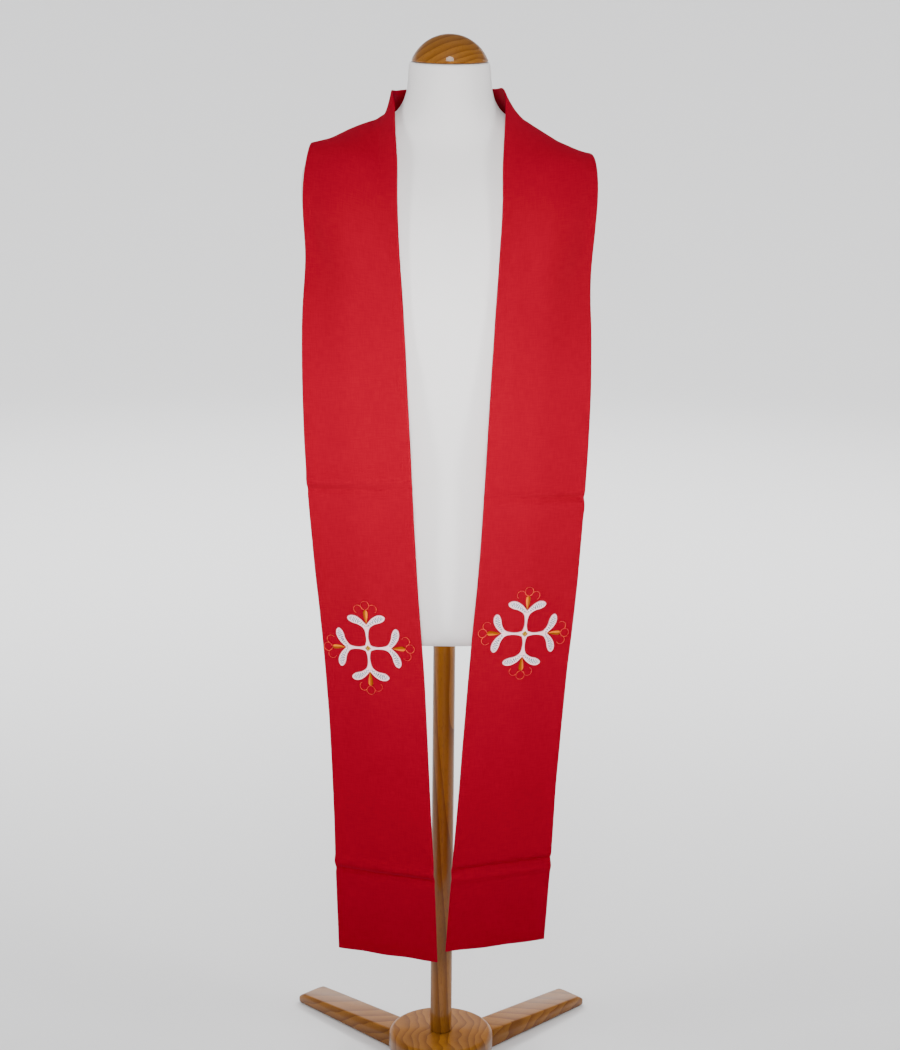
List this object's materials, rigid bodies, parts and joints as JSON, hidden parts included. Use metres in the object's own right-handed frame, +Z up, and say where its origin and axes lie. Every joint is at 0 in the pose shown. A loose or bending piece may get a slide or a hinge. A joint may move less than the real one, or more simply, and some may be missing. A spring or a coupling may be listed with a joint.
{
  "type": "clerical stole on dress form",
  "caption": "Long straight liturgical stole with an embroidered foliate cross near each end, laid round the neck of a limbless dress form on a wooden stand.",
  "frame": {"origin": "on the floor, at the middle of the overall box, under the pole", "axes": "+Z up the pole, front of the stole towards -Y, the band on the viewer's right towards +X"},
  "size_m": [0.4516, 0.4516, 1.5263],
  "materials": {
    "red_cloth": "matt twill-woven polyester, red",
    "white_thread": "satin-stitched white thread with a slight sheen",
    "gold_thread": "satin-stitched golden-orange thread",
    "form_cover": "smooth off-white stretch jersey cover",
    "varnished_wood": "golden-brown wood with glossy varnish"
  },
  "bodies": {
    "root": {"stole_left": "red_cloth", "stole_right": "red_cloth", "embroidery_left_cross": "white_thread", "embroidery_right_cross": "white_thread", "embroidery_left_centre": "gold_thread", "embroidery_right_centre": "gold_thread", "embroidery_left_bud_1": "gold_thread", "embroidery_left_bud_2": "gold_thread", "embroidery_left_bud_3": "gold_thread", "embroidery_left_bud_4": "gold_thread", "embroidery_right_bud_1": "gold_thread", "embroidery_right_bud_2": "gold_thread", "embroidery_right_bud_3": "gold_thread", "embroidery_right_bud_4": "gold_thread", "form_torso": "form_cover", "form_cap": "varnished_wood", "stand_pole": "varnished_wood", "stand_hub": "varnished_wood", "stand_leg_1": "varnished_wood", "stand_leg_2": "varnished_wood", "stand_leg_3": "varnished_wood", "stand_leg_4": "varnished_wood"}
  },
  "joints": []
}
